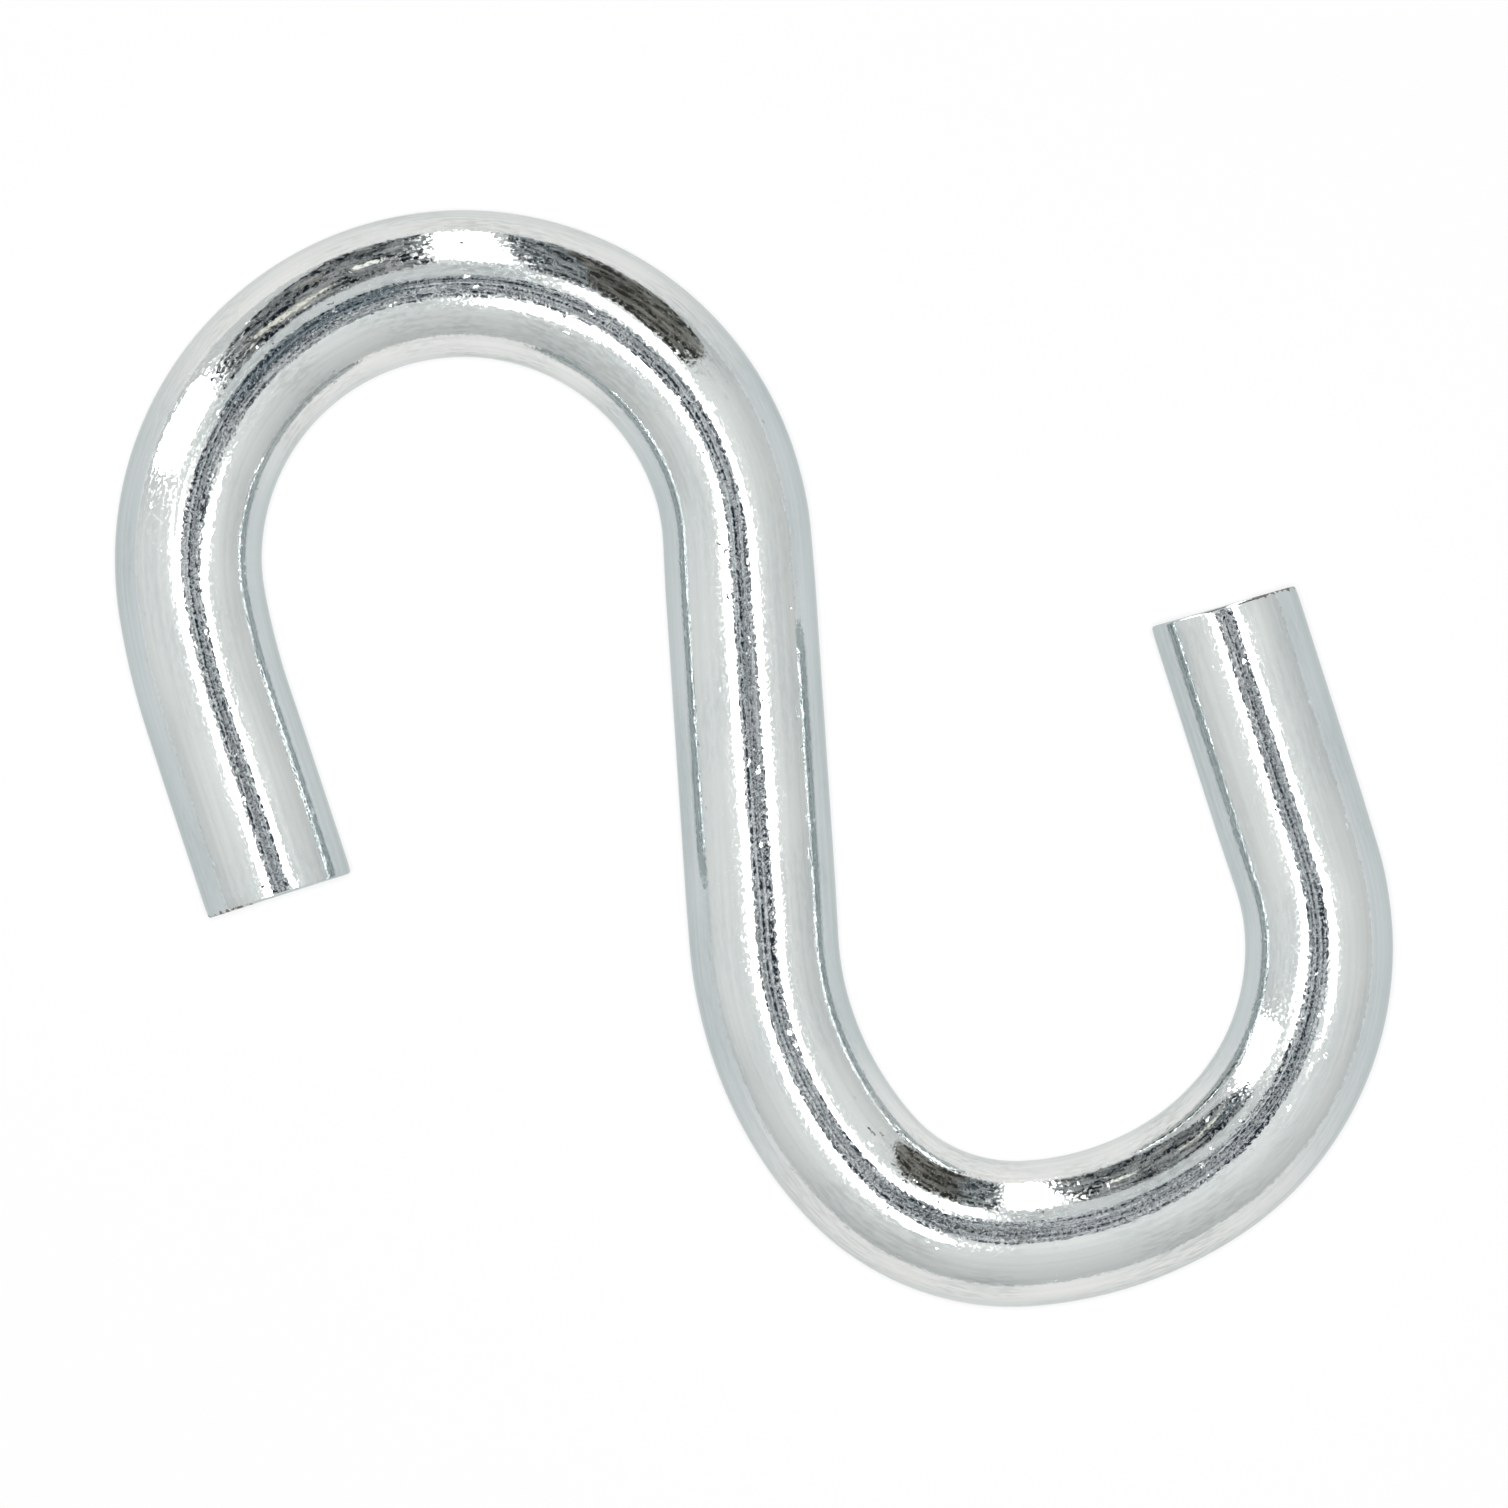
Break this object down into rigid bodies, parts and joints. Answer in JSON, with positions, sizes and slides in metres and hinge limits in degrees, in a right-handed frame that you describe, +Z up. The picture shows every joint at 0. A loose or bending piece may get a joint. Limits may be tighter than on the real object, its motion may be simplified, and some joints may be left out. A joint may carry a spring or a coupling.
{
  "type": "s hook",
  "caption": "Open S-shaped hook of round zinc-plated steel rod: opposed hooks on a straight shank, for hanging or linking rings, chain and bars.",
  "frame": {"origin": "the middle of the underside of the hook's box, on the surface that it lies flat on", "axes": "+Z up, square to the flat S; +Y along the shank towards the upper hook; +X from the upper hook's side to the lower hook's side"},
  "size_m": [0.0414, 0.0376, 0.005],
  "materials": {
    "zinc_plate": "bright zinc plate over drawn round rod, fine matt grain and light barrel marks"
  },
  "bodies": {
    "root": {"hook": "zinc_plate"}
  },
  "joints": []
}
